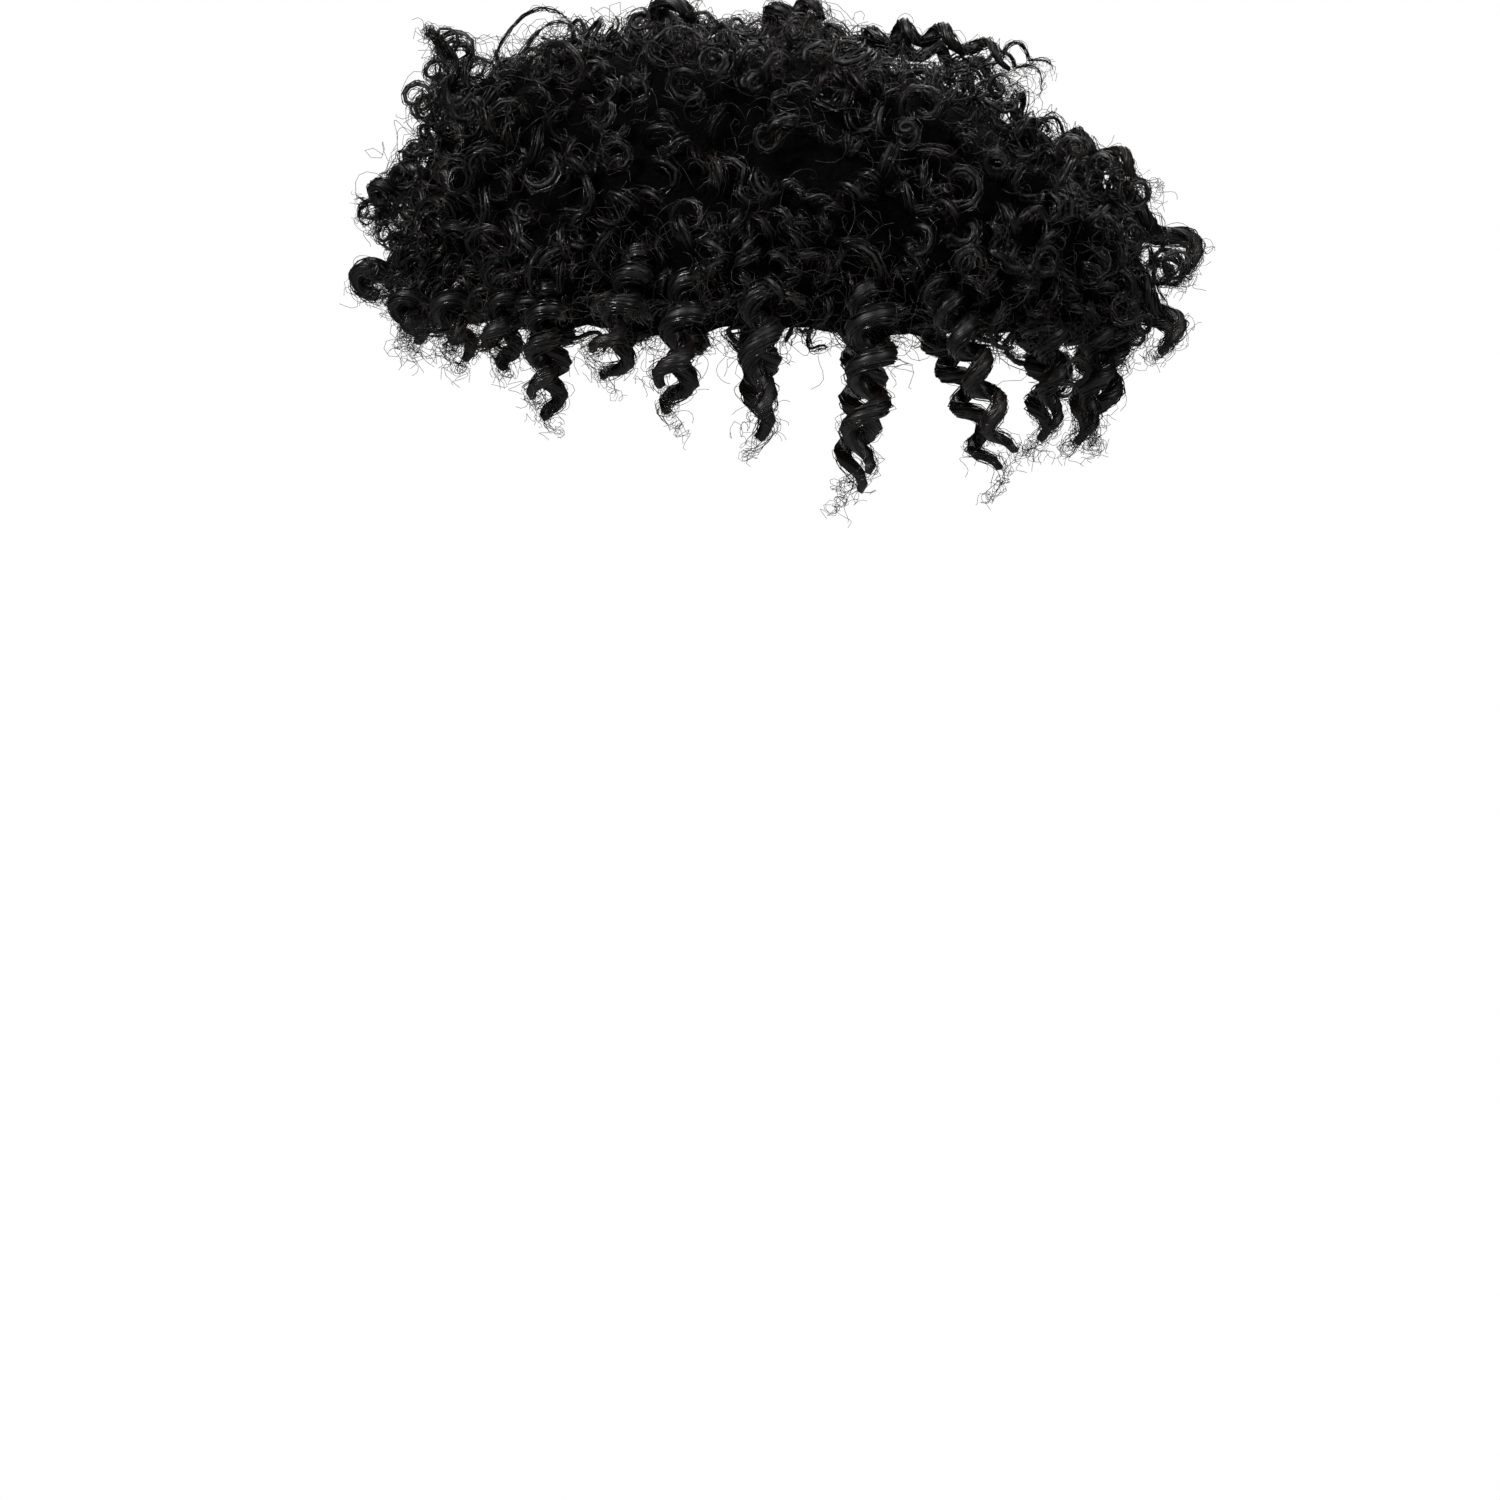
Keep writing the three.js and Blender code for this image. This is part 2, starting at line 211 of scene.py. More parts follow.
def hair_point(turn, share):
    """A point of the massed hair's outer face, from its top at share 0 to its lower edge at share 1."""
    turn, share = np.broadcast_arrays(np.asarray(turn, float), np.asarray(share, float))
    facing = np.cos(turn)
    end = np.where(facing > 0, level_at(share, "front"), level_at(share, "back"))
    reach = FORM_LENGTH / 2 + np.where(facing > 0, HAIR_DEPTH["front"], HAIR_DEPTH["back"])
    height = HAIR_DEPTH["crown"] + around(turn, HAIR_DROP)
    side = level_at(share, "side")
    swell = WAVE_HEIGHT * np.cos(WAVES_ROUND * turn) * np.sin(2 * math.pi * WAVES_DOWN * share)
    return np.stack(
        [
            (side * (FORM_WIDTH / 2 + HAIR_DEPTH["side"]) + swell * side) * np.sin(turn),
            -(end * reach + swell * side) * facing,
            HAIR_DEPTH["crown"] - level_at(share, "fall") * height + swell * (1 - side),
        ],
        axis=-1,
    )


def base_point(turn, share):
    """A point just over the base, from the crown at share 0 to the base's edge at share 1."""
    turn, share = np.broadcast_arrays(np.asarray(turn, float), np.asarray(share, float))
    tilt = share * np.arccos(1 - around(turn, BASE_DROP) / FORM_RISE)
    ray = np.stack([np.sin(tilt) * np.sin(turn), -np.sin(tilt) * np.cos(turn), np.cos(tilt)], axis=-1)
    half = np.array([FORM_WIDTH / 2, FORM_LENGTH / 2, FORM_RISE])
    return ray * half - np.array([0, 0, FORM_RISE]) + unit(ray / half) * (BASE_WALL + BASE_GAP)


def face_axes(turn, share):
    """The outward, downward and roundward directions of the massed hair's face."""
    step = 0.02
    lower, upper = np.minimum(share + step, 1), np.maximum(share - step, 0)
    down = unit(hair_point(turn, lower) - hair_point(turn, upper))
    about = unit(hair_point(turn + step, share) - hair_point(turn - step, share))
    out = unit(np.cross(about, down))
    out *= np.sign(np.sum(out * hair_point(turn, share), axis=-1, keepdims=True) + 1e-9)
    return out, down, about


def coils(root, shoulder, tip, across, radius, turns, start, steps, hand=1.0, uneven=0.0, close=0.3):
    """The winding middle lines of locks, with the directions away from each lock's axis and across its rope.

    A lock starts and ends narrower: its radius grows over the first quarter and loses the close share to the tip.
    """
    t = np.linspace(0, 1, steps)[None, :, None]
    root, shoulder, tip, across = (p[:, None, :] for p in (root, shoulder, tip, across))
    middle = (1 - t) ** 2 * root + 2 * t * (1 - t) * shoulder + t**2 * tip
    along = unit(2 * (1 - t) * (shoulder - root) + 2 * t * (tip - shoulder))
    out = unit(np.cross(along, across))
    side = np.cross(along, out)
    column = lambda value: np.broadcast_to(np.asarray(value, float), len(root))[:, None, None]
    waver = np.sin(2 * math.pi * (t * column(turns) * 0.37 + column(start))) * column(uneven)
    angle = column(start) + column(hand) * 2 * math.pi * column(turns) * t + waver
    grown = column(radius) * np.minimum(1, 4 * t) * (1 - close * t * t) * (1 + 0.5 * waver)
    path = middle + out * grown * np.cos(angle) + side * grown * np.sin(angle)
    run = unit(np.gradient(path, axis=1))
    away = out * np.cos(angle) + side * np.sin(angle)
    flat = unit(np.cross(run, away))
    return path, unit(np.cross(flat, run)), flat


def strands(path, away, flat, count, spread, width, thick, loose, frizz, cut, rings=1.5, even=1.0):
    """Fine strands that follow each lock's rope, drift off it by loose and curl into small rings at its tip.

    Each holds to its own share of spread from the rope's middle and ends within the shares in cut. An even below
    1 moves their steps towards the tip.
    """
    locks, steps, _ = path.shape
    toss = lambda low, high: chance.uniform(low, high, (locks, count, 1, 1))
    t = np.linspace(0, 1, steps)[None, None, :, None] ** even * toss(*cut)
    spot = t[..., 0] * (steps - 1)
    below = np.minimum(spot.astype(int), steps - 2)
    part = (spot - below)[..., None]
    lock = np.arange(locks)[:, None, None]
    follow = lambda line: line[lock, below] * (1 - part) + line[lock, below + 1] * part
    order = (np.arange(count)[None, :, None, None] + toss(0, 1)) / count
    angle = 2 * math.pi * (order + toss(-0.5, 0.5) * t)
    hold = toss(*spread)
    wide, deep = (follow(np.asarray(value)[..., None]) for value in (width, thick))
    away, flat = follow(away), follow(flat)
    line = follow(path) + away * deep * hold * np.cos(angle) + flat * wide * hold * np.sin(angle)
    end = np.clip((t - TIP_START) / TIP_SPAN, 0, 1)
    ring = 2 * math.pi * (toss(0, 1) + toss(3, 6) * t + rings * end)
    drift = loose * toss(0.5, 1.3) * np.minimum(1, 4 * t) + frizz * toss(0.4, 1.2) * end
    lean = toss(0, 1)
    sideways = flat * lean + np.cross(away, flat) * (1 - lean)
    line = line + drift * (away * np.cos(ring) + sideways * np.sin(ring))
    line = line + unit(chance.normal(size=(locks, count, 1, 3))) * end * frizz * toss(0, 1)
    return (piece.reshape(-1, steps, 3) for piece in (line, away, flat))


def strand_map(corners, shape):
    """Strand coordinates of faces, from each corner's length round the tube and along it."""
    pairs = ([np.broadcast_to(value, shape) for value in corner] for corner in corners)
    return np.stack([np.stack(pair, -1) for pair in pairs], 2)


def tubes(path, away, flat, thick, width, sides, kind, grooves=0.0):
    """Closed tubes along paths, as points, faces, strand coordinates and marks.

    A mark holds the share along the strand, the strand's own tone and its kind.
    """
    count, steps, _ = path.shape
    turn = np.arange(sides) / sides * 2 * math.pi
    girth = lambda value: np.broadcast_to(np.asarray(value, float), (count, steps))[:, :, None, None]
    groove = (1 - grooves * (np.arange(sides) % 2))[None, None, :, None]
    ring = (
        path[:, :, None]
        + away[:, :, None] * girth(thick) * groove * np.cos(turn)[None, None, :, None]
        + flat[:, :, None] * girth(width) * groove * np.sin(turn)[None, None, :, None]
    )
    ends = np.stack([path[:, 0], path[:, -1]], axis=1)
    points = np.concatenate([ring.reshape(count, -1, 3), ends], axis=1)
    place = lambda step, side: step * sides + side % sides
    grids = np.meshgrid(np.arange(steps - 1), np.arange(sides), indexing="ij")
    step, side = (grid.ravel() for grid in grids)
    corners = ((step, side), (step, side + 1), (step + 1, side + 1), (step + 1, side))
    quads = np.stack([place(*corner) for corner in corners], 1)
    rim = np.arange(sides)
    first = np.stack([place(0, rim + 1), place(0, rim), np.full(sides, steps * sides)], 1)
    last = np.stack([place(steps - 1, rim), place(steps - 1, rim + 1), np.full(sides, steps * sides + 1)], 1)
    shift = np.arange(count)[:, None, None] * (steps * sides + 2)
    spans = np.linalg.norm(np.diff(path, axis=1), axis=-1)
    length = np.concatenate([np.zeros((count, 1)), np.cumsum(spans, 1)], 1)
    tone = chance.uniform(0, 1, count)
    share = np.repeat(np.linspace(0, 1, steps)[None, :, None], sides, 2).repeat(count, 0).reshape(count, -1)
    share = np.concatenate([share, np.tile([0.0, 1.0], (count, 1))], 1)
    marks = np.stack([share, np.repeat(tone[:, None], share.shape[1], 1), np.full(share.shape, kind)], -1)
    girth_mm = math.pi * (np.mean(thick) + np.mean(width))
    arc = lambda side: side / sides * girth_mm
    quad_map = strand_map([(arc(side), length[:, step]) for step, side in corners], (count, len(step)))
    low, high = length[:, :1], length[:, -1:]
    first_map = [(arc(rim + 1), low), (arc(rim), low), (0.5 * girth_mm, low - 0.5)]
    last_map = [(arc(rim), high), (arc(rim + 1), high), (0.5 * girth_mm, high + 0.5)]
    cap_map = np.concatenate([strand_map(ring, (count, sides)) for ring in (first_map, last_map)], 1)
    return {
        "points": points.reshape(-1, 3),
        "quads": (quads[None] + shift).reshape(-1, 4),
        "caps": (np.concatenate([first, last])[None] + shift).reshape(-1, 3),
        "marks": marks.reshape(-1, 3),
        "quad_map": quad_map.reshape(-1, 2),
        "cap_map": cap_map.reshape(-1, 2),
    }


def hair_piece(name, bundles, material):
    """One joined mesh from bundles of tubes."""
    gather = lambda key: [bundle[key] for bundle in bundles]
    starts = np.cumsum([0] + [len(points) for points in gather("points")])
    quads = np.concatenate([faces + at for faces, at in zip(gather("quads"), starts)])
    caps = np.concatenate([faces + at for faces, at in zip(gather("caps"), starts)])
    points = np.concatenate(gather("points")) * MM
    marks = np.concatenate(gather("marks"))
    corners = np.concatenate([quads.ravel(), caps.ravel()])
    sizes = np.concatenate([np.full(len(quads), 4), np.full(len(caps), 3)])
    mesh = bpy.data.meshes.new(name)
    mesh.vertices.add(len(points))
    mesh.vertices.foreach_set("co", points.ravel())
    mesh.loops.add(len(corners))
    mesh.loops.foreach_set("vertex_index", corners.astype(np.int32))
    mesh.polygons.add(len(sizes))
    mesh.polygons.foreach_set("loop_start", (np.cumsum(sizes) - sizes).astype(np.int32))
    mesh.update(calc_edges=True)
    mesh.polygons.foreach_set("use_smooth", np.ones(len(sizes), bool))
    flow = mesh.uv_layers.new(name="Strand")
    flow.data.foreach_set("uv", np.concatenate(gather("quad_map") + gather("cap_map")).ravel())
    mark = mesh.attributes.new("hair_mark", "FLOAT_VECTOR", "POINT")
    mark.data.foreach_set("vector", marks.ravel())
    mesh.materials.append(material)
    mesh.validate()
    piece = bpy.data.objects.new(name, mesh)
    bpy.context.scene.collection.objects.link(piece)
    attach(piece, "root")
    return piece


def taper(steps, tip, blunt=0.8):
    """How a rope's girth changes from a narrow root to a thin tip."""
    t = np.linspace(0, 1, steps)
    thinned = np.clip((t - blunt) / (1 - blunt), 0, 1) ** 1.6
    return np.minimum(1, 0.45 + 4 * t) * (1 - (1 - tip) * thinned)


# Materials


def node(tree, kind, **values):
    made = tree.nodes.new(kind)
    for name, value in values.items():
        setattr(made, name, value)
    return made


def new_material(name):
    material = bpy.data.materials.new(name)
    material.use_nodes = True
    return material, material.node_tree, material.node_tree.nodes["Principled BSDF"]


def strand_streaks():
    """Fine streaks that run along a lock: a mask for colour and gloss, and a height for relief."""
    group = bpy.data.node_groups.new("strand_streaks", "ShaderNodeTree")
    for name, usual in (("Across", 0.9), ("Along", 0.05), ("Clumps", 0.3)):
        socket = group.interface.new_socket(name, in_out="INPUT", socket_type="NodeSocketFloat")
        socket.default_value = usual
    for name in ("Mask", "Height"):
        group.interface.new_socket(name, in_out="OUTPUT", socket_type="NodeSocketFloat")
    ends = node(group, "NodeGroupInput"), node(group, "NodeGroupOutput")
    flow = node(group, "ShaderNodeUVMap", uv_map="Strand")
    split = node(group, "ShaderNodeSeparateXYZ")
    mark = node(group, "ShaderNodeAttribute", attribute_name="hair_mark")
    marks = node(group, "ShaderNodeSeparateXYZ")
    link = group.links.new
    link(flow.outputs["UV"], split.inputs[0])
    link(mark.outputs["Vector"], marks.inputs[0])
    across = node(group, "ShaderNodeMath", operation="MULTIPLY")
    along = node(group, "ShaderNodeMath", operation="MULTIPLY")
    link(split.outputs["X"], across.inputs[0])
    link(ends[0].outputs["Across"], across.inputs[1])
    link(split.outputs["Y"], along.inputs[0])
    link(ends[0].outputs["Along"], along.inputs[1])
    apart = node(group, "ShaderNodeMath", operation="MULTIPLY")
    apart.inputs[1].default_value = 91.0
    link(marks.outputs["Y"], apart.inputs[0])
    place = node(group, "ShaderNodeCombineXYZ")
    link(across.outputs[0], place.inputs["X"])
    link(along.outputs[0], place.inputs["Y"])
    link(apart.outputs[0], place.inputs["Z"])
    fine = node(group, "ShaderNodeTexNoise")
    fine.inputs["Scale"].default_value = 1.0
    fine.inputs["Detail"].default_value = 2.0
    fine.inputs["Roughness"].default_value = 0.6
    link(place.outputs[0], fine.inputs["Vector"])
    broad = node(group, "ShaderNodeTexNoise")
    broad.inputs["Scale"].default_value = 0.3
    broad.inputs["Detail"].default_value = 1.0
    link(place.outputs[0], broad.inputs["Vector"])
    height = node(group, "ShaderNodeMix", data_type="FLOAT")
    link(ends[0].outputs["Clumps"], height.inputs["Factor"])
    link(fine.outputs["Fac"], height.inputs["A"])
    link(broad.outputs["Fac"], height.inputs["B"])
    mask = node(group, "ShaderNodeMapRange")
    mask.inputs["From Min"].default_value = 0.38
    mask.inputs["From Max"].default_value = 0.62
    link(height.outputs["Result"], mask.inputs["Value"])
    toned = node(group, "ShaderNodeMath", operation="MULTIPLY")
    link(mask.outputs["Result"], toned.inputs[0])
    link(marks.outputs["Y"], toned.inputs[1])
    link(toned.outputs[0], ends[1].inputs["Mask"])
    link(height.outputs["Result"], ends[1].inputs["Height"])
    return group


def hair_material(name, deep, dark, light, lit_through_tint, roughness, relief):
    """Black hair: a lock's core painted darker than its wisps as the shade inside the lock, the wisps streaked
    lighter at random, and the tips tinted reddish as painted light shining through thin hair.
    """
    material, tree, gloss = new_material(name)
    link = tree.links.new
    streaks = node(tree, "ShaderNodeGroup", node_tree=STREAKS)
    mark = node(tree, "ShaderNodeAttribute", attribute_name="hair_mark")
    marks = node(tree, "ShaderNodeSeparateXYZ")
    link(mark.outputs["Vector"], marks.inputs[0])
    hue = node(tree, "ShaderNodeMix", data_type="RGBA")
    hue.inputs["A"].default_value = (*dark, 1)
    hue.inputs["B"].default_value = (*light, 1)
    link(streaks.outputs["Mask"], hue.inputs["Factor"])
    # Strand tips tinted reddish, more on some strands than others: painted light shining through the thin ends of
    # the hair.
    lit_through = node(tree, "ShaderNodeMapRange", interpolation_type="SMOOTHSTEP")
    lit_through.inputs["From Min"].default_value = 0.55
    lit_through.inputs["From Max"].default_value = 1.0
    link(marks.outputs["X"], lit_through.inputs["Value"])
    red = node(tree, "ShaderNodeMath", operation="MULTIPLY")
    link(lit_through.outputs["Result"], red.inputs[0])
    link(marks.outputs["Y"], red.inputs[1])
    tinted = node(tree, "ShaderNodeMix", data_type="RGBA")
    tinted.inputs["B"].default_value = (*lit_through_tint, 1)
    link(red.outputs[0], tinted.inputs["Factor"])
    link(hue.outputs["Result"], tinted.inputs["A"])
    # Cores take the deep colour, painted darker than the wisps as the shade inside each lock.
    fine = node(tree, "ShaderNodeMath", operation="MULTIPLY", use_clamp=True)
    fine.inputs[1].default_value = 2.0
    link(marks.outputs["Z"], fine.inputs[0])
    depth = node(tree, "ShaderNodeMix", data_type="RGBA")
    depth.inputs["A"].default_value = (*deep, 1)
    link(fine.outputs[0], depth.inputs["Factor"])
    link(tinted.outputs["Result"], depth.inputs["B"])
    link(depth.outputs["Result"], gloss.inputs["Base Color"])
    shine = node(tree, "ShaderNodeMath", operation="MULTIPLY_ADD")
    shine.inputs[1].default_value = 0.6
    link(fine.outputs[0], shine.inputs[0])
    glint = node(tree, "ShaderNodeMath", operation="MULTIPLY")
    glint.inputs[1].default_value = 0.4
    link(streaks.outputs["Mask"], glint.inputs[0])
    link(glint.outputs[0], shine.inputs[2])
    rough = node(tree, "ShaderNodeMapRange")
    rough.inputs["To Min"].default_value = roughness[1]
    rough.inputs["To Max"].default_value = roughness[0]
    link(shine.outputs[0], rough.inputs["Value"])
    link(rough.outputs["Result"], gloss.inputs["Roughness"])
    bump = node(tree, "ShaderNodeBump")
    bump.inputs["Strength"].default_value = relief
    bump.inputs["Distance"].default_value = 0.0008
    link(streaks.outputs["Height"], bump.inputs["Height"])
    link(bump.outputs["Normal"], gloss.inputs["Normal"])
    gloss.inputs["Specular IOR Level"].default_value = 0.6
    return material


STREAKS = strand_streaks()
CURL = hair_material(
    "black_curl",
    # the deep colour is painted shade in the cores of the locks
    deep=(0.0005, 0.0004, 0.0004),
    dark=(0.001, 0.0009, 0.0009),
    light=(0.014, 0.0118, 0.0112),
    # painted light through the thin tips
    lit_through_tint=(0.03, 0.017, 0.013),
    roughness=(0.15, 0.52),
    relief=1.0,
)
# Loose hairs: their colour, much paler than the curls', is a painted highlight of fine hairs catching the light,
# and their tip tint is painted light shining through them.
WISP = hair_material(
    "fine_wisp",
    deep=(0.004, 0.003, 0.003),
    dark=(0.005, 0.004, 0.004),
    light=(0.045, 0.039, 0.037),
    lit_through_tint=(0.04, 0.029, 0.025),
    roughness=(0.32, 0.5),
    relief=0.0,
)


def undercoat_material():
    """Near-black tangle that shows in the gaps between curls."""
    material, tree, gloss = new_material("hair_shadow")
    link = tree.links.new
    place = node(tree, "ShaderNodeTexCoord")
    tangle = node(tree, "ShaderNodeTexNoise")
    tangle.inputs["Scale"].default_value = 260
    tangle.inputs["Detail"].default_value = 4
    tangle.inputs["Distortion"].default_value = 1.6
    link(place.outputs["Object"], tangle.inputs["Vector"])
    hue = node(tree, "ShaderNodeMix", data_type="RGBA")
    hue.inputs["A"].default_value = (0.0004, 0.0004, 0.0004, 1)
    hue.inputs["B"].default_value = (0.0018, 0.0015, 0.0015, 1)
    link(tangle.outputs["Fac"], hue.inputs["Factor"])
    link(hue.outputs["Result"], gloss.inputs["Base Color"])
    bump = node(tree, "ShaderNodeBump")
    bump.inputs["Distance"].default_value = 0.002
    link(tangle.outputs["Fac"], bump.inputs["Height"])
    link(bump.outputs["Normal"], gloss.inputs["Normal"])
    gloss.inputs["Roughness"].default_value = 0.7
    gloss.inputs["Specular IOR Level"].default_value = 0.03
    return material


def lace_material():
    """Skin-toned lace: a fine net of knots over thin film."""
    material, tree, gloss = new_material("skin_lace")
    link = tree.links.new
    place = node(tree, "ShaderNodeTexCoord")
    net = node(tree, "ShaderNodeTexVoronoi", feature="DISTANCE_TO_EDGE")
    net.inputs["Scale"].default_value = 620
    link(place.outputs["Object"], net.inputs["Vector"])
    thread = node(tree, "ShaderNodeMapRange")
    thread.inputs["From Min"].default_value = 0.02
    thread.inputs["From Max"].default_value = 0.16
    thread.inputs["To Min"].default_value = 1.0
    thread.inputs["To Max"].default_value = 0.0
    link(net.outputs["Distance"], thread.inputs["Value"])
    blotch = node(tree, "ShaderNodeTexNoise")
    blotch.inputs["Scale"].default_value = 60
    link(place.outputs["Object"], blotch.inputs["Vector"])
    film = node(tree, "ShaderNodeMix", data_type="RGBA")
    film.inputs["A"].default_value = (0.3, 0.17, 0.1, 1)
    film.inputs["B"].default_value = (0.46, 0.29, 0.19, 1)
    link(blotch.outputs["Fac"], film.inputs["Factor"])
    hue = node(tree, "ShaderNodeMix", data_type="RGBA")
    hue.inputs["B"].default_value = (0.16, 0.1, 0.07, 1)
    link(film.outputs["Result"], hue.inputs["A"])
    link(thread.outputs["Result"], hue.inputs["Factor"])
    link(hue.outputs["Result"], gloss.inputs["Base Color"])
    bump = node(tree, "ShaderNodeBump")
    bump.inputs["Strength"].default_value = 0.6
    bump.inputs["Distance"].default_value = 0.0003
    link(thread.outputs["Result"], bump.inputs["Height"])
    link(bump.outputs["Normal"], gloss.inputs["Normal"])
    gloss.inputs["Roughness"].default_value = 0.62
    return material


# Pieces


def side_of(points):
    """Which section of the hairpiece each point lies in."""
    x, y = points[:, 0], points[:, 1]
    reach = FORM_LENGTH / 2 + np.where(y < 0, HAIR_DEPTH["front"], HAIR_DEPTH["back"])
    turn = np.degrees(np.arctan2(np.abs(x) / (FORM_WIDTH / 2 + HAIR_DEPTH["side"]), -y / reach))
    section = np.where(x > 0, "left", "right").astype("<U6")
    section[turn < FRONT_EDGE_ANGLE] = "front"
    section[turn > BACK_EDGE_ANGLE] = "back"
    section[(x / CROWN_OVAL[0]) ** 2 + (y / CROWN_OVAL[1]) ** 2 < 1] = "crown"
    return section


def spread_points(count):
    """Evenly spread places on the massed hair's face, as turns and shares down it."""
    turn = chance.uniform(-math.pi, math.pi, PLACE_TRIES)
    share = chance.uniform(0.03, 1.0, PLACE_TRIES)
    points = hair_point(turn, share)
    chosen = [0]
    near = np.full(PLACE_TRIES, np.inf)
    for _ in range(count - 1):
        near = np.minimum(near, np.linalg.norm(points - points[chosen[-1]], axis=1))
        chosen.append(int(np.argmax(near)))
    return turn[chosen], share[chosen]


def curl_lines(root, shoulder, tip, coil, turns, steps, uneven, close=0.3):
    """Lock lines that wind either way, each from its own starting turn."""
    count = len(root)
    across = unit(np.cross(tip - root, shoulder - root) + 1e-3)
    hand = np.where(chance.uniform(size=count) < 0.5, -1.0, 1.0)
    start = chance.uniform(0, 2 * math.pi, count)
    return coils(root, shoulder, tip, across, coil, turns, start, steps, hand, uneven, close)


def massed_curls(count):
    """Short curls packed over the whole face of the hair: some lie along it, and some stand and show their rings.

    They sit in lumps, and sink into a shallow dip between the fringe and the crown.
    """
    turn, share = spread_points(count)
    face = hair_point(turn, share)
    out, down, about = face_axes(turn, share)
    toss = lambda low, high: chance.uniform(low, high, (count, 1))
    sway = toss(-1.5, 1.5)
    flow = unit(down * np.cos(sway) + about * np.sin(sway))
    stand = np.where(chance.uniform(size=(count, 1)) < 0.25, toss(0.6, 1.0), toss(0, 0.4))
    coil = chance.uniform(2.6, 7.6, count)
    rope = chance.uniform(0.8, 2.2, count)
    lump = LUMP_HEIGHT * np.sin(17 * turn + 9 * share) * np.sin(38 * share)
    dip = DIP_DEPTH * np.exp(-(((face[:, 1] - DIP_PLACE) / DIP_WIDTH) ** 2))
    lump -= np.where(share < DIP_REACH, dip, 0)
    sunk = out * ((coil + rope)[:, None] * toss(0.5, 0.95) - lump[:, None])
    root = face - sunk - out * toss(2, 6) - flow * toss(5, 10) * (1 - 0.7 * stand)
    shoulder = face - sunk + out * (2 + 6 * stand) + flow * toss(-4, 4)
    tip = face - sunk + out * (toss(-3, 3) + 9 * stand) + flow * toss(8, 18) * (1 - 0.8 * stand)
    turns = chance.uniform(1.0, 2.2, count)
    return face, rope, curl_lines(root, shoulder, tip, coil, turns, MASSED_STEPS, 0.45, 0.6)


def near_lock(turn):
    """How near a turn is to one of the free locks: 1 at a lock and 0 midway between two."""
    rows = np.radians([row[0] for row in FRONT_LOCKS + SIDE_LOCKS + BACK_LOCKS])
    half_width = math.radians(3.5)
    return np.exp(-(((np.abs(turn)[..., None] - rows) / half_width) ** 2)).max(-1)


def edge_curls(count):
    """Short corkscrews of uneven length that hang from the lower edge."""
    turn = (np.arange(count) + chance.uniform(-0.4, 0.4, count)) / count * 2 * math.pi
    near = near_lock(turn)
    top = hair_point(turn, chance.uniform(0.8, 0.93, count) + 0.07 * near)
    out, _, about = face_axes(turn, np.full(count, 0.9))
    toss = lambda low, high: chance.uniform(low, high, (count, 1))
    drop = toss(1, 5) + near[:, None] * toss(2, 15)
    coil = chance.uniform(2.4, 4.6, count)
    root = top - out * toss(7, 12) + [0, 0, 8]
    shoulder = top - out * toss(1, 4)
    tip = top - out * toss(2, 8) + about * toss(-8, 8) - [0, 0, 1] * drop
    rope = chance.uniform(1.1, 2.3, count)
    return top, rope, curl_lines(root, shoulder, tip, coil, drop[:, 0] / 7 + 1, EDGE_STEPS, 0.3)


def ring_curls(rows):
    """Curls that wind round an axis across the hairpiece, on both sides of it."""
    sides = (1, -1)
    both = [(np.array(spot) * [side, 1, 1], radius, rope, side) for spot, radius, rope in rows for side in sides]
    middle, radius, rope, side = (np.array(column, float) for column in zip(*both))
    inward = -unit(middle - [0, 0, -40])
    span = side[:, None] * np.array([7.0, 0, 0])
    root = middle - span * 1.2 + inward * 9
    turns = np.full(len(both), 2.2)
    lines = curl_lines(root, middle - span * 0.4, middle + span, radius, turns, RING_STEPS, 0.3, 0.5)
    return lines, rope


def lock_lines(rows, mirror, steps):
    """The lines and rope widths of a table's locks, on one side or mirrored to the other."""
    columns = (np.array(column, float) for column in zip(*rows))
    turn, level, rise, reach, fall, lean, coil, rope, turns = columns
    angle = np.radians(turn)
    outward = np.stack([np.sin(angle), -np.cos(angle), np.zeros(len(angle))], 1)
    about = np.stack([np.cos(angle), np.sin(angle), np.zeros(len(angle))], 1)
    top = hair_point(angle, level)
    root = top + (base_point(angle, level) - top) * ROOT_SHARE
    shoulder = top + unit(top - root) * (rise * LOCK_REACH)[:, None]
    tip = top + outward * (reach * LOCK_REACH)[:, None] + about * (lean * LOCK_REACH)[:, None]
    tip[:, 2] -= fall * LOCK_FALL
    width = rope**ROPE_LOOSENING * ROPE_RADIUS
    radius = coil * LOCK_RADIUS - width * FLATNESS
    made = coils(root, shoulder, tip, about, radius, turns, angle, steps)
    if mirror:
        made = made[0] * [-1, 1, 1], made[1] * [-1, 1, 1], made[2] * [1, -1, -1]
    return made, width


def dressed(lines, rope, core_sides, wisps, strays, fine, loose, tip, core, spread):
    """A lock: a grooved core, wisps that lie side by side round its flat rope, and finer hairs that stray off."""
    path, away, flat = lines
    steps = path.shape[1]
    girth = taper(steps, tip)[None] * np.asarray(rope)[:, None]
    thick, width = girth * FLATNESS, girth
    inner = slice(0, int(steps * 0.93))
    slim = taper(steps, 0.3, 0.7) * core
    middle = [line[:, inner] for line in lines]
    core_size = (thick * slim)[:, inner], (width * slim)[:, inner]
    made = [tubes(*middle, *core_size, core_sides, CORE, grooves=0.2)]
    fine = fine * taper(steps, 0.35, 0.6)
    close = strands(path, away, flat, wisps, (0.8, spread), width, thick, loose, TIP_FRIZZ, (0.75, 1.0))
    made.append(tubes(*close, fine, fine * 1.3, 3, WISP_STRAND))
    wild = dict(loose=0.9, frizz=3.2 * TIP_FRIZZ, cut=(0.85, 1.0), rings=2.2, even=0.65)
    free = strands(path, away, flat, strays, (0.9, 1.5), width, thick, **wild)
    made.append(tubes(*free, STRAY_HAIR, STRAY_HAIR, 3, FINE_HAIR))
    return made


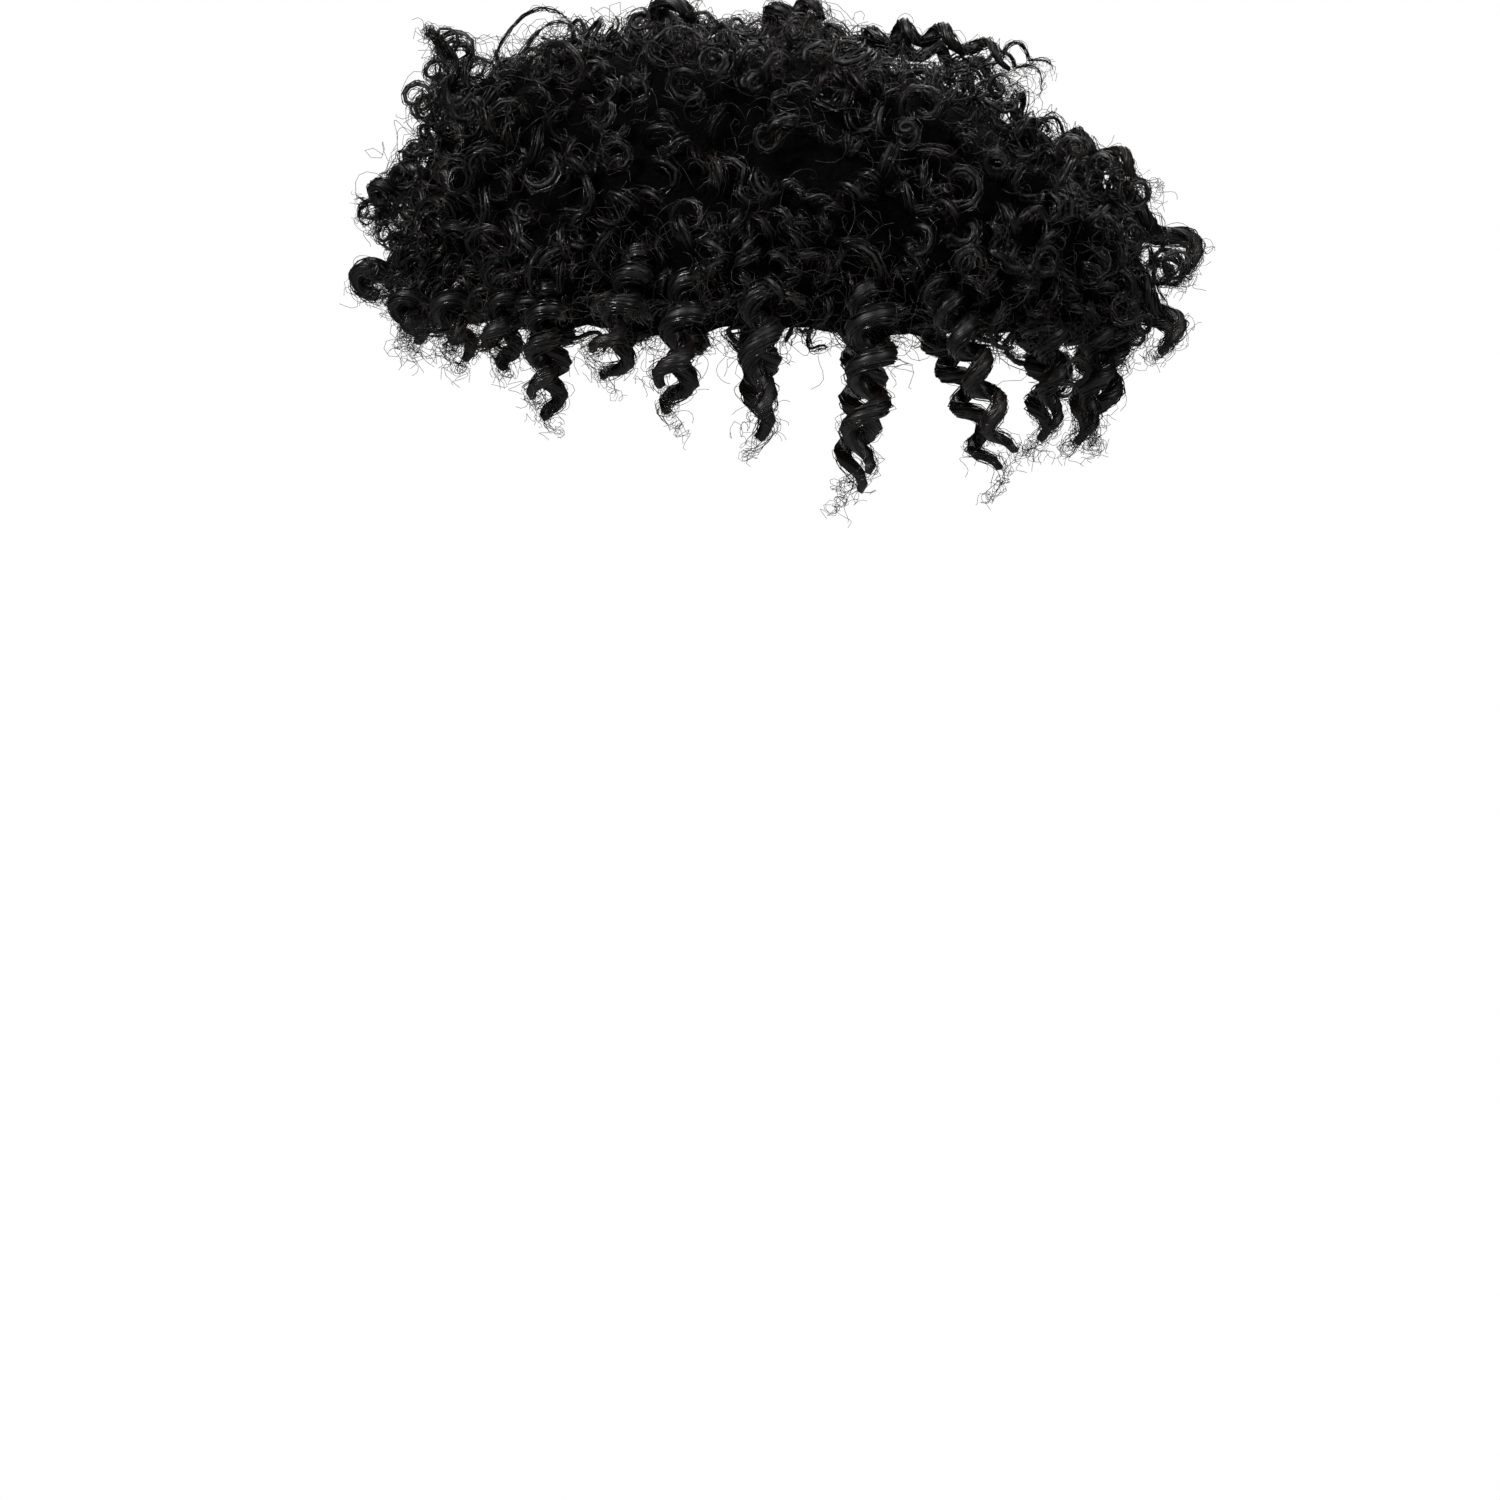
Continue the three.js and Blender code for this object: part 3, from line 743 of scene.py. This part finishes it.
def end_frizz(path, away, count):
    """Fine hairs that leave each lock in small loops, most of them at its end."""
    locks, steps, _ = path.shape
    back = np.minimum(chance.exponential(0.1, (locks, count)), 0.6)
    spot = np.arange(locks)[:, None], ((1 - back) * (steps - 1)).astype(int)
    root, out = path[spot].reshape(-1, 3), away[spot].reshape(-1, 3)
    toss = lambda low, high: chance.uniform(low, high, (locks * count, 1))
    drift = unit(chance.normal(size=root.shape)) * toss(2, 6)
    tip = root + out * toss(0, 5) + drift - [0, 0, 1] * toss(0, 5)
    coil = chance.uniform(1.4, 3.4, len(root))
    shoulder = root + out * toss(0, 4)
    return curl_lines(root, shoulder, tip, coil, chance.uniform(1, 2.4, len(root)), FRIZZ_STEPS, 0.4)


def flyaways(count, highest):
    """Fine single hairs that stand off the hair in loose loops, from the highest share of its face downwards."""
    turn = chance.uniform(-math.pi, math.pi, count)
    share = chance.uniform(highest, 1.0, count) ** 0.8
    face = hair_point(turn, share)
    out, down, about = face_axes(turn, share)
    toss = lambda low, high: chance.uniform(low, high, (count, 1))
    flow = unit(down * toss(-0.5, 1.2) + about * toss(-1, 1))
    high = np.where(chance.uniform(size=(count, 1)) < 0.4, toss(5, 11), toss(0, 4))
    root = face - out * 5
    shoulder = face + out * high + flow * toss(-3, 6)
    tip = face + out * high * toss(-0.3, 1) + flow * toss(6, 20)
    coil = chance.uniform(1.2, 4.5, count)
    return curl_lines(root, shoulder, tip, coil, chance.uniform(1, 2.6, count), FLYAWAY_STEPS, 0.5)


def under_hair():
    """The dark depth of the hair under its curls: a closed layer over the base, ragged along its lower edge."""
    mesh = bmesh.new()
    bmesh.ops.create_uvsphere(mesh, u_segments=128, v_segments=40, radius=1)
    edge_share, lock_dip, notch = 0.962, 0.025, 0.006
    for corner in mesh.verts:
        turn = math.atan2(corner.co.x, -corner.co.y)
        share = math.acos(min(1.0, abs(corner.co.z))) / (math.pi / 2)
        ragged = lock_dip * float(near_lock(turn)) + notch * math.sin(37 * turn)
        face = hair_point(turn, share * (edge_share + ragged * share**6))
        inner = base_point(turn, share)
        if corner.co.z > -1e-4:
            lump = 1.6 * math.sin(9 * turn) * math.sin(14 * share)
            below_face = 10 - lump - 7 * share**8
            inner += (face - inner) * max(0.12, 1 - below_face / np.linalg.norm(face - inner))
        corner.co = Vector(inner * MM)
    bmesh.ops.recalc_face_normals(mesh, faces=mesh.faces)
    data = bpy.data.meshes.new("under_hair")
    mesh.to_mesh(data)
    mesh.free()
    piece = bpy.data.objects.new("under_hair", data)
    bpy.context.scene.collection.objects.link(piece)
    for polygon in data.polygons:
        polygon.use_smooth = True
    data.materials.append(undercoat_material())
    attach(piece, "root")


under_hair()

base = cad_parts["base_cap"]
base.data.materials.clear()
base.data.materials.append(lace_material())

# The crown has no lower edge, so it is left out of the edge curls' sections.
SECTIONS = ("crown", "front", "left", "right", "back")
sets = {"curls": massed_curls(MASSED_COUNT), "edge": edge_curls(EDGE_COUNT)}
for kind, (face, rope, lines) in sets.items():
    section = side_of(face)
    for name in SECTIONS[kind == "edge" :]:
        picked = section == name
        part = tuple(axis[picked] for axis in lines)
        hair_piece(f"{name}_{kind}", dressed(part, rope[picked], **CURL_DRESS), CURL)

locks = {
    "crown": [(CROWN_TUFTS, False), (CROWN_TUFTS, True)],
    "front": [(FRONT_LOCKS + FRONT_TUFTS, False), (FRONT_LOCKS + FRONT_TUFTS, True)],
    "left": [(SIDE_LOCKS, False)],
    "right": [(SIDE_LOCKS, True)],
    "back": [(BACK_LOCKS + BACK_TUFTS, False), (BACK_LOCKS + BACK_TUFTS, True)],
}
for name, groups in locks.items():
    bundles = []
    for rows, mirror in groups:
        made, width = lock_lines(rows, mirror, LOCK_STEPS[name])
        bundles += dressed(made, width * LOCK_FULLNESS, **LOCK_DRESS)
        frizz = end_frizz(*made[:2], FRIZZ_COUNT)
        bundles.append(tubes(*frizz, FRIZZ_HAIR, FRIZZ_HAIR, 3, FINE_HAIR))
    hair_piece(f"{name}_locks", bundles, CURL)

arcs = curl_lines(*(np.array(column, float) for column in zip(*ARC_WISPS)), ARC_STEPS, 0.3)
arc_hairs = dressed(arcs, np.full(len(ARC_WISPS), ARC_ROPE), **ARC_DRESS)
lines, rope = ring_curls(RING_CURLS)
hair_piece("arc_wisps", arc_hairs + dressed(lines, rope, **RING_DRESS), CURL)
loose = [tubes(*flyaways(*band), STRAY_HAIR, STRAY_HAIR, 3, FINE_HAIR) for band in FLYAWAY_BANDS]
hair_piece("flyaway_hairs", loose, WISP)

replaced = {
    "crown": "crown_hair",
    "front": "front_fringe",
    "left": "left_side_hair",
    "right": "right_side_hair",
    "back": "back_hair",
}
for name, solid in replaced.items():
    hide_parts(solid)

# Stage, lights and camera, with lengths in metres

FLOOR_RADIUS = 12
FLOOR_HEIGHT = -0.45

# Each lamp by its name, place, size and power in watts. All of them aim at the part's origin.
LAMPS = [
    ("key_light", (1.5, -1.2, 1.3), 0.35, 42),
    ("side_light", (1.4, 1.5, 0.8), 0.4, 14),
    ("top_light", (0.1, 0.1, 1.6), 0.6, 7),
    ("rim_light", (-1.2, 0.3, 1.2), 0.9, 10),
]
SKY_LIGHT = 0.025
SKY_SEEN = 1.0


def backdrop():
    """A pale floor that the camera sees as plain white."""
    mesh = bmesh.new()
    bmesh.ops.create_circle(mesh, cap_ends=True, segments=96, radius=FLOOR_RADIUS)
    bmesh.ops.translate(mesh, verts=mesh.verts, vec=(0, 0, FLOOR_HEIGHT))
    data = bpy.data.meshes.new("floor")
    mesh.to_mesh(data)
    mesh.free()
    floor = bpy.data.objects.new("floor", data)
    bpy.context.scene.collection.objects.link(floor)
    material, tree, gloss = new_material("studio_white")
    link = tree.links.new
    gloss.inputs["Base Color"].default_value = (0.4, 0.4, 0.4, 1)
    gloss.inputs["Roughness"].default_value = 0.9
    glow = node(tree, "ShaderNodeEmission")
    seen = node(tree, "ShaderNodeLightPath")
    both = node(tree, "ShaderNodeMixShader")
    link(seen.outputs["Is Camera Ray"], both.inputs["Fac"])
    link(gloss.outputs[0], both.inputs[1])
    link(glow.outputs[0], both.inputs[2])
    link(both.outputs[0], tree.nodes["Material Output"].inputs["Surface"])
    data.materials.append(material)


def lamp(name, place, size, power):
    light = bpy.data.lights.new(name, "AREA")
    light.shape = "RECTANGLE"
    light.size = light.size_y = size
    light.energy = power
    made = bpy.data.objects.new(name, light)
    bpy.context.scene.collection.objects.link(made)
    made.location = place
    made.rotation_euler = (-Vector(place)).to_track_quat("-Z", "Y").to_euler()


backdrop()
for row in LAMPS:
    lamp(*row)

world = bpy.data.worlds.new("studio")
bpy.context.scene.world = world
world.use_nodes = True
sky = world.node_tree.nodes["Background"]
seen = node(world.node_tree, "ShaderNodeLightPath")
strength = node(world.node_tree, "ShaderNodeMapRange")
strength.inputs["To Min"].default_value = SKY_LIGHT
strength.inputs["To Max"].default_value = SKY_SEEN
world.node_tree.links.new(seen.outputs["Is Camera Ray"], strength.inputs["Value"])
world.node_tree.links.new(strength.outputs["Result"], sky.inputs["Strength"])
sky.inputs["Color"].default_value = (1, 1, 1, 1)

view = bpy.data.cameras.new("photo_camera")
view.sensor_width = SENSOR_WIDTH
view.lens = SENSOR_WIDTH * CAMERA_DISTANCE / (PHOTO_PIXELS * PIXEL * MM)
view.clip_end = 100
eye = bpy.data.objects.new("photo_camera", view)
bpy.context.scene.collection.objects.link(eye)
centre = PHOTO_PIXELS / 2
eye.location = (CAMERA_DISTANCE, (centre - ORIGIN_COLUMN) * PIXEL * MM, (ORIGIN_ROW - centre) * PIXEL * MM)
eye.rotation_euler = Vector((-1, 0, 0)).to_track_quat("-Z", "Y").to_euler()
bpy.context.scene.camera = eye
bpy.context.scene.view_settings.view_transform = "Standard"
